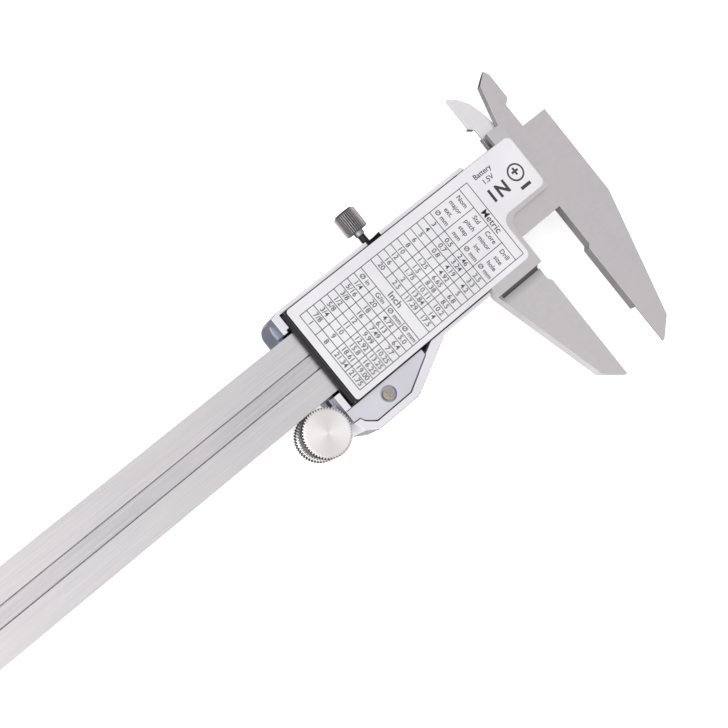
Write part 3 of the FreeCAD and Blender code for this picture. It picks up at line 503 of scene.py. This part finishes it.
piece = copyNode("back_label", 0.0)
edit(piece)
pick(piece, "VERT", lambda corner: corner.co.z > labelHigh.z - 0.05 * mm)
bpy.ops.transform.translate(value=(0, 0, -0.02 * mm))
leave()
bevelEdges(piece, 0.09 * mm)
finish(piece, "label_sheet", "labelPlate", "slider", ["back_label"])
print("housing, cover and plate done")

# what is printed on the plate
platePrint = {
    "line": 0.17, "bold": 0.00002,
    "jawEnd": -2.6, "tailEnd": -53.9, "left": 9.8, "right": -11.0, "columns": (0.0, 0.26, 0.51, 0.755, 1.0),
    "bands": (2.5, 9.3) + (2.02,) * 9 + (2.9, 2.1) + (1.98,) * 8,
}
heads = (("Nom", "major", "ext.", "Ø mm"), ("Std", "pitch", "step", "mm"), ("Core", "minor", "int.", "Ø mm"),
         ("Drill", "size", "hole", "Ø mm"))
inchHeads = ("Ø in", "G/in", "Ø mm", "Ø mm")
metricRows = ("3 0.5 2.46 2.5", "4 0.7 3.24 3.3", "5 0.8 4.19 4.2", "6 1 4.92 5", "8 1.25 6.65 6.8",
              "10 1.5 8.38 8.5", "12 1.75 10.11 10.2", "16 2 13.84 14", "20 2.5 17.29 17.5")
inchRows = ("1/4 20 4.72 5.0", "5/16 18 6.13 6.4", "3/8 16 7.49 7.7", "1/2 12 9.99 10.25", "5/8 11 12.92 13.25",
            "3/4 10 15.8 16.25", "7/8 9 18.61 19.00", "1 8 21.34 21.75")
acrossPlate = (0, 0, math.radians(-90))
marks = []


def plateBar(x0, y0, x1, y1):
    low = onSlider(min(x0, x1), min(y0, y1), 0)
    high = onSlider(max(x0, x1), max(y0, y1), 0)
    low.z = labelHigh.z - 0.03 * mm
    high.z = labelHigh.z - 0.002 * mm
    marks.append(bar(low, high))


def plateWords(text, x, y, height, turn=acrossPlate, bold=platePrint["bold"], squeeze=1.0):
    spot = onSlider(x, y, 0)
    spot.z = labelHigh.z - 0.014 * mm
    piece = words(text, spot, height * mm, turn, 0.022 * mm, bold)
    if squeeze != 1.0:
        onlySelect(piece)
        for corner in piece.data.vertices:
            corner.co.y = spot.y + (corner.co.y - spot.y) * squeeze
    marks.append(piece)


half = platePrint["line"] / 2
left, right = platePrint["left"], platePrint["right"]
columns = [left + (right - left) * share for share in platePrint["columns"]]
middles = [(a + b) / 2 for a, b in zip(columns, columns[1:])]
edges = [platePrint["jawEnd"]]
total = sum(platePrint["bands"])
for band in platePrint["bands"]:
    edges.append(edges[-1] + (platePrint["tailEnd"] - platePrint["jawEnd"]) * band / total)
for x in edges:
    plateBar(x - half, left, x + half, right)
for y in (left, right):
    plateBar(edges[0], y - half, edges[-1], y + half)
for y in columns[1:-1]:
    plateBar(edges[1], y - half, edges[11], y + half)
    plateBar(edges[12], y - half, edges[-1], y + half)
plateWords("Metric", (edges[0] + edges[1]) / 2, (left + right) / 2, 1.75)
plateWords("Inch", (edges[11] + edges[12]) / 2, (left + right) / 2, 1.75)
for middle, lines in zip(middles, heads):
    for number, line in enumerate(lines):
        plateWords(line, edges[1] - 1.45 - number * 2.15, middle, 1.25, squeeze=0.92)
for middle, line in zip(middles, inchHeads):
    plateWords(line, (edges[12] + edges[13]) / 2, middle, 1.2)
for number, row in enumerate(metricRows):
    for middle, cell in zip(middles, row.split()):
        plateWords(cell, (edges[2 + number] + edges[3 + number]) / 2, middle, 1.28)
for number, row in enumerate(inchRows):
    for middle, cell in zip(middles, row.split()):
        plateWords(cell, (edges[13 + number] + edges[14 + number]) / 2, middle, 1.28)
plateWords("Battery", 2.1, 9.5, 1.3, (0, 0, 0))
plateWords("1.5V", 2.2, 7.4, 1.3, (0, 0, 0))
# a plus in a ring, a bar and two letters
cellSign = {"x": 8.9, "y": 4.7, "r": 2.2, "wall": 0.42}
letterSign = {"x": 0.4, "y": 3.6, "height": 3.2, "bold": 0.00014}
bpy.ops.mesh.primitive_circle_add(vertices=40, radius=cellSign["r"] * mm, fill_type="NGON",
                                  location=onSlider(cellSign["x"], cellSign["y"], 0))
ring = bpy.context.active_object
settle(ring)
edit(ring)
pick(ring, "FACE", lambda face: True)
bpy.ops.mesh.inset(thickness=cellSign["wall"] * mm)
bpy.ops.mesh.delete(type="FACE")
bpy.ops.mesh.select_all(action="SELECT")
bpy.ops.mesh.extrude_region_move(TRANSFORM_OT_translate={"value": (0, 0, 0.022 * mm)})
bpy.ops.mesh.select_all(action="SELECT")
bpy.ops.transform.translate(value=(0, 0, labelHigh.z - 0.025 * mm - sliderFrame.z))
bpy.ops.mesh.normals_make_consistent(inside=False)
leave()
marks.append(ring)
plateWords("+", cellSign["x"], cellSign["y"] + 0.1, 2.6, (0, 0, 0), bold=0.00012)
plateBar(7.4, 0.4, 10.4, 1.2)
plateWords("I", letterSign["x"], letterSign["y"], letterSign["height"], (0, 0, 0), bold=letterSign["bold"])
plateWords("N", letterSign["x"] + 3.2, letterSign["y"] - 0.1, letterSign["height"], (0, 0, 0), bold=letterSign["bold"])
piece = joinPieces(marks)
finish(piece, "plate_print", "inkBlack", "slider")
print("print done:", len(piece.data.polygons), "faces")


# knurled parts
# a disc about z with teeth round its rim and a chamfer at both ends
def knurledDisc(radius, notch, teeth, low, high, chamfer):
    bpy.ops.mesh.primitive_circle_add(vertices=teeth * 4, radius=radius, fill_type="NGON", location=(0, 0, low))
    piece = bpy.context.active_object
    settle(piece)
    edit(piece, "VERT")
    pick(piece, "VERT", lambda corner: corner.index % 4 in (1, 2))
    shrink = (radius - notch) / radius
    bpy.ops.transform.resize(value=(shrink, shrink, 1), center_override=(0, 0, low))
    bpy.ops.mesh.select_mode(type="FACE")
    pick(piece, "FACE", lambda face: True)
    bpy.ops.mesh.extrude_region_move(TRANSFORM_OT_translate={"value": (0, 0, high - low)})
    trim = (radius - notch - chamfer) / radius
    for level, side in ((high, 1), (low, -1)):
        pick(piece, "FACE", lambda face: face.normal.z * side > 0.9)
        bpy.ops.mesh.inset(thickness=0.0)
        bpy.ops.transform.resize(value=(trim, trim, 1), center_override=(0, 0, level))
        bpy.ops.mesh.select_all(action="DESELECT")
        pick(piece, "VERT", lambda corner: abs(corner.co.z - level) < 1e-7
             and corner.co.xy.length > radius - notch - 1e-6)
        bpy.ops.transform.translate(value=(0, 0, -side * chamfer))
        bpy.ops.mesh.select_mode(type="FACE")
    bpy.ops.mesh.select_all(action="SELECT")
    bpy.ops.mesh.normals_make_consistent(inside=False)
    leave()
    return piece


def drum(radius, low, high, sides=48, chamfer=0.0):
    bpy.ops.mesh.primitive_cylinder_add(vertices=sides, radius=radius, depth=high - low,
                                        location=(0, 0, (low + high) / 2))
    piece = bpy.context.active_object
    settle(piece)
    if chamfer:
        bevelEdges(piece, chamfer, 2, 50)
    return piece


roller = {"radius": 5.69, "notch": 0.28, "teeth": 52, "top": 1.2, "upper": -1.2, "lower": -5.8, "low": -8.2,
          "hub": 3.0}
flanges = [
    knurledDisc(roller["radius"] * mm, roller["notch"] * mm, roller["teeth"], roller["upper"] * mm,
                roller["top"] * mm, 0.22 * mm),
    knurledDisc(roller["radius"] * mm, roller["notch"] * mm, roller["teeth"], roller["low"] * mm,
                roller["lower"] * mm, 0.22 * mm),
    drum(roller["hub"] * mm, (roller["lower"] + 0.01) * mm, (roller["upper"] - 0.01) * mm)]
piece = joinPieces(flanges)
piece.location = Vector((rollerAt.x, rollerAt.y, sliderFrame.z))
settle(piece)
rimBottom = (roller["radius"] - roller["notch"] * 0.7) * mm
# painted shade: the faces deep between the teeth are painted near black
paintFaces(piece, "rollerRim", (
    ("rollerFace", lambda middle, normal: abs(normal.z) > 0.9),
    ("knurlShadeDark", lambda middle, normal: abs(normal.z) < 0.5 and (middle.xy - rollerAt.xy).length < rimBottom)))
finish(piece, "roller_wheel", None, "thumb_roller", ["thumb_roller"], smooth=20)

lock = {"x": -29.7, "z": -1.5, "radius": 2.79, "notch": 0.26, "teeth": 34, "low": 16.6, "top": 22.1,
        "stem": 0.95, "stemLow": 9.4, "collar": 1.15, "collarLow": 15.5}
lockParts = [
    knurledDisc(lock["radius"] * mm, lock["notch"] * mm, lock["teeth"], lock["low"] * mm,
                (lock["top"] - 0.25) * mm, 0.2 * mm),
    drum((lock["radius"] - 0.6) * mm, (lock["top"] - 0.3) * mm, lock["top"] * mm, chamfer=0.1 * mm)]
stemParts = [drum((lock["stem"] - 0.14) * mm, lock["stemLow"] * mm, (lock["collarLow"] + 0.05) * mm)]
collar = drum(lock["collar"] * mm, lock["collarLow"] * mm, (lock["low"] + 0.05) * mm, chamfer=0.12 * mm)
lockParts.append(collar)
thread = lock["stemLow"] + 0.15
while thread < lock["collarLow"] - 0.3:
    stemParts.append(drum(lock["stem"] * mm, thread * mm, (thread + 0.24) * mm, 32, 0.07 * mm))
    thread += 0.4
head = joinPieces(lockParts)
stem = joinPieces(stemParts)
# painted shade: the knurl's grooves are painted near black, and the stem is a near-black copy of the screw's steel
for part, name, paint, nodes in ((head, "lock_head", "lockDark", ["lock_screw"]),
                                 (stem, "lock_stem", "stemShadeDark", [])):
    part.rotation_euler = (math.radians(-90), 0, 0)
    part.location = onSlider(lock["x"], 0, lock["z"])
    settle(part)
    axis = onSlider(lock["x"], 0, lock["z"])
    bottom = (lock["radius"] - lock["notch"] * 0.7) * mm
    paintFaces(part, paint, (("knurlShadeDark", lambda middle, normal: abs(normal.y) < 0.5 and lock["collar"] * mm * 1.1
                              < math.hypot(middle.x - axis.x, middle.z - axis.z) < bottom),))
    finish(part, name, None, "lock_screw", nodes, smooth=20)
print("roller and lock screw done")

# ribs of the thumb rest
rest = {"points": ((-58.2, -18.6), (-55.4, -20.3), (-43.5, -20.3), (-30.5, -13.9)), "pitch": 0.9, "radius": 0.26,
        "low": -10.6, "high": 1.1}
points = [Vector(p) for p in rest["points"]]
firstSpot = points[0].lerp(points[1], rest["pitch"] / 2 / (points[1] - points[0]).length)
bpy.ops.mesh.primitive_cylinder_add(vertices=10, radius=rest["radius"] * mm, depth=(rest["high"] - rest["low"]) * mm,
                                    location=onSlider(firstSpot.x, firstSpot.y, (rest["high"] + rest["low"]) / 2))
firstRib = bpy.context.active_object
settle(firstRib)
bevelEdges(firstRib, 0.12 * mm, 2, 60)
ribs = [firstRib]
travel = rest["pitch"] * 1.5
for start, end in zip(points, points[1:]):
    length = (end - start).length
    while travel < length:
        spot = start.lerp(end, travel / length)
        ribs.append(copyPiece(firstRib, Vector((spot.x - firstSpot.x, spot.y - firstSpot.y, 0)) * mm))
        travel += rest["pitch"]
    travel -= length
piece = joinPieces(ribs)
finish(piece, "rest_ribs", "caseMetal", "slider", smooth=40)
print("ribs done")

# the display side
screenLow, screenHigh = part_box("lcd_glass")
facingDown = (0, math.radians(180), 0)
digit = {"wide": 3.6, "high": 7.6, "stroke": 0.78, "slant": 0.08, "pitch": 5.3, "gap": 0.1}
segments = {"1": "bc", "2": "abged", "7": "abc", "0": "abcdef"}


def segmentBar(x, z, wide, high):
    piece = bar(Vector((x - wide / 2, z - high / 2, 0)) * mm, Vector((x + wide / 2, z + high / 2, 0.04)) * mm)
    edit(piece, "EDGE")
    pick(piece, "EDGE", lambda edge: abs((edge.verts[0].co - edge.verts[1].co).z) > 0.02 * mm)
    bpy.ops.mesh.bevel(offset=digit["stroke"] * 0.48 * mm, segments=1, offset_type="OFFSET")
    leave()
    return piece


def digitBars(figure, x):
    wide, high, stroke, gap = digit["wide"], digit["high"], digit["stroke"], digit["gap"]
    places = {
        "a": (0, high / 2, wide - gap, stroke), "g": (0, 0, wide - gap, stroke),
        "d": (0, -high / 2, wide - gap, stroke),
        "f": (-wide / 2, high / 4, stroke, high / 2 - gap), "b": (wide / 2, high / 4, stroke, high / 2 - gap),
        "e": (-wide / 2, -high / 4, stroke, high / 2 - gap), "c": (wide / 2, -high / 4, stroke, high / 2 - gap)}
    return [segmentBar(x + places[s][0], places[s][1], places[s][2], places[s][3]) for s in segments[figure]]


bars = []
for number, figure in enumerate("1270"):
    bars += digitBars(figure, -9.5 + number * digit["pitch"])
bars.append(bar(Vector((-1.9, -4.2, 0)) * mm, Vector((-1.1, -3.4, 0.04)) * mm))
piece = joinPieces(bars)
for corner in piece.data.vertices:
    corner.co.x += corner.co.y * digit["slant"]
piece.rotation_euler = facingDown
screenMiddle = (screenLow.x + screenHigh.x) / 2
piece.location = Vector((screenMiddle, (screenLow.y + screenHigh.y) / 2, screenLow.z - 0.005 * mm))
settle(piece)
unit = words("mm", Vector((screenMiddle - 14.3 * mm, screenLow.y + 3.4 * mm, screenLow.z - 0.03 * mm)),
             1.7 * mm, facingDown, 0.04 * mm, 0.00003)
finish(joinPieces([piece, unit]), "screen_digits", "resinBlack", "slider")

capSigns = {"button_power": ("0/I", "inkWhite", 1.5), "button_zero": ("ZERO", "inkBlack", 1.3),
            "button_unit": ("in/mm", "inkWhite", 1.3)}
for node, (sign, ink, height) in capSigns.items():
    low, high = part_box(node)
    piece = copyNode(node, 0.12 * mm)
    finish(piece, node + "_cap", "buttonYellow" if node == "button_zero" else "buttonGrey", node,
           [node])
    spot = Vector(((low.x + high.x) / 2, (low.y + high.y) / 2, low.z - 0.002 * mm))
    sign = words(sign, spot, height * mm, facingDown, 0.02 * mm, 0.00003)
    finish(sign, node + "_sign", ink, node)

# the door of the cell: grip ridges and an arrow
low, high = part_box("battery_door")
piece = copyNode("battery_door", 0.1 * mm)
finish(piece, "cell_door", "doorGrey", "battery_door", ["battery_door"])
grip = {"start": 2.2, "wide": 0.42, "pitch": 0.9, "count": 6, "inset": 3, "arrow": 10.6, "arrowSize": 1.5}
x = low.x + grip["start"] * mm
ridge = bar(Vector((x, low.y + grip["inset"] * mm, low.z - 0.09 * mm)),
            Vector((x + grip["wide"] * mm, high.y - grip["inset"] * mm, low.z + 0.1 * mm)))
bevelEdges(ridge, 0.08 * mm, 2, 50)
ridges = [ridge]
for number in range(1, grip["count"]):
    ridges.append(copyPiece(ridge, Vector((number * grip["pitch"], 0, 0)) * mm))
spot = Vector((low.x + grip["arrow"] * mm, (low.y + high.y) / 2, low.z - 0.01 * mm))
bpy.ops.mesh.primitive_circle_add(vertices=3, radius=grip["arrowSize"] * mm, fill_type="NGON", location=spot,
                                  rotation=(0, 0, math.radians(90)))
arrow = bpy.context.active_object
settle(arrow)
edit(arrow)
bpy.ops.mesh.select_all(action="SELECT")
bpy.ops.mesh.extrude_region_move(TRANSFORM_OT_translate={"value": (0, 0, -0.06 * mm)})
bpy.ops.mesh.select_all(action="SELECT")
bpy.ops.mesh.normals_make_consistent(inside=False)
leave()
ridges.append(arrow)
finish(joinPieces(ridges), "cell_door_ridges", "doorGrey", "battery_door")
print("display side done")

# graduations on the beam's front
foilLow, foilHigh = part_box("scale_foil")
scale = {"first": -6.5, "count": 151, "line": 0.14, "short": 1.6, "middle": 2.4, "long": 3.2}
ticks = []
firstTicks = {}
for number in range(scale["count"]):
    tall = scale["long"] if number % 10 == 0 else scale["middle"] if number % 5 == 0 else scale["short"]
    x = foilHigh.x + (scale["first"] - number) * mm
    if tall in firstTicks:
        firstTick, firstX = firstTicks[tall]
        ticks.append(copyPiece(firstTick, Vector((x - firstX, 0, 0))))
    else:
        ticks.append(bar(Vector((x - scale["line"] * mm / 2, foilLow.y + 0.3 * mm, foilLow.z - 0.006 * mm)),
                         Vector((x + scale["line"] * mm / 2, foilLow.y + (0.3 + tall) * mm, foilLow.z + 0.01 * mm))))
        firstTicks[tall] = (ticks[-1], x)
    if number % 10 == 0:
        ticks.append(words(str(number), Vector((x, foilHigh.y - 3.0 * mm, foilLow.z - 0.001 * mm)), 1.9 * mm,
                           facingDown, 0.012 * mm, 0.00003))
finish(joinPieces(ticks), "scale_marks", "inkWhite", "beam")
print("graduations done")

# finishes for the nodes that stay
nodeFinishes = {
    "stator_strip": "boardGreen", "scale_foil": "foilBlack", "end_stop": "jawSteel", "end_stop_screws": "screwPlate",
    "depth_rod_rivets": "jawSteel", "case_screws": "screwPlate", "cover_screw": "screwPlate",
    "main_board": "boardGreen",
    "chip_resin": "resinBlack", "lcd_window": "windowClear", "lcd_glass": "screenGrey", "lcd_holder": "holderWhite",
    "contact_strips": "padRubber", "button_pad": "padRubber", "battery": "cellSteel",
    "battery_contact_minus": "brassStrip", "battery_contact_plus": "brassStrip", "gib_strip": "brassStrip",
    "gib_screws": "screwPlate", "roller_spring": "springSteel", "lock_shoe": "brassStrip",
}
for node, finishName in nodeFinishes.items():
    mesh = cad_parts[node].data
    mesh.materials.clear()
    mesh.materials.append(finishes[finishName])

# floor, light and camera
bpy.ops.object.select_all(action="DESELECT")
bpy.ops.mesh.primitive_plane_add(size=4, location=(0, 0, -0.0002))
floor = bpy.context.active_object
floor.name = "floor"
material, shader = newFinish("paleFloor", (0.9, 0.9, 0.9), 0.0, 0.9)
shader.inputs["Emission Color"].default_value = (1, 1, 1, 1)
shader.inputs["Emission Strength"].default_value = 0.55
floor.data.materials.append(material)
floor.visible_glossy = False

studio = {"low": 0.04, "side": 0.3, "high": 0.86, "top": 0.98,
          "tailSide": (1.75, 1.7, 1.7), "middle": (0.88, 0.87, 0.885), "jawSide": (0.87, 0.86, 0.875),
          "key": 0.6, "keySize": 0.5, "keyPlace": (-0.35, 0.3, 0.6)}
world = bpy.data.worlds.new("studio")
bpy.context.scene.world = world
world.use_nodes = True
worldNodes = world.node_tree.nodes
worldLinks = world.node_tree.links
coords = worldNodes.new("ShaderNodeTexCoord")
split = worldNodes.new("ShaderNodeSeparateXYZ")
worldLinks.new(coords.outputs["Generated"], split.inputs[0])
ramps = []
for axis, fromLow, fromHigh, stops in (
        ("Z", -1, 1, ((0.0, (studio["low"],) * 3), (0.48, (studio["side"],) * 3), (0.62, (studio["high"],) * 3),
                      (1.0, (studio["top"],) * 3))),
        ("X", -0.6, 0.6, ((0.0, studio["tailSide"]), (0.7, studio["middle"]), (1.0, studio["jawSide"])))):
    along = worldNodes.new("ShaderNodeMapRange")
    along.inputs["From Min"].default_value = fromLow
    along.inputs["From Max"].default_value = fromHigh
    ramp = worldNodes.new("ShaderNodeValToRGB")
    for position, colour in stops:
        ends = {0.0: 0, 1.0: len(ramp.color_ramp.elements) - 1}
        elements = ramp.color_ramp.elements
        stop = elements[ends[position]] if position in ends else elements.new(position)
        stop.color = (*colour, 1)
    worldLinks.new(split.outputs[axis], along.inputs["Value"])
    worldLinks.new(along.outputs["Result"], ramp.inputs["Fac"])
    ramps.append(ramp)
blend = worldNodes.new("ShaderNodeMix")
blend.data_type = "RGBA"
blend.blend_type = "MULTIPLY"
blend.inputs[0].default_value = 1
worldLinks.new(ramps[0].outputs["Color"], blend.inputs[6])
worldLinks.new(ramps[1].outputs["Color"], blend.inputs[7])
worldLinks.new(blend.outputs[2], worldNodes["Background"].inputs["Color"])

bpy.ops.object.light_add(type="AREA", location=studio["keyPlace"])
light = bpy.context.active_object
light.name = "key"
light.data.size = studio["keySize"]
light.data.energy = studio["key"]
light.rotation_euler = (-Vector(studio["keyPlace"])).to_track_quat("-Z", "Y").to_euler()

cameraView = {"place": (-0.04005, 0.01283, 0.2851), "right": (0.7320, -0.6287, 0.2626),
              "up": (0.6064, 0.7769, 0.1697), "lens": 64.29}
rightward = Vector(cameraView["right"]).normalized()
backward = rightward.cross(Vector(cameraView["up"])).normalized()
upward = backward.cross(rightward)
cameraData = bpy.data.cameras.new("camera")
cameraData.lens = cameraView["lens"]
cameraData.sensor_width = 36
cameraData.clip_start = 0.01
camera = bpy.data.objects.new("camera", cameraData)
bpy.context.scene.collection.objects.link(camera)
turned = Matrix((rightward, upward, backward)).transposed().to_4x4()
camera.matrix_world = Matrix.Translation(cameraView["place"]) @ turned
bpy.context.scene.camera = camera
bpy.context.scene.view_settings.view_transform = "Standard"
print("floor, light and camera done")
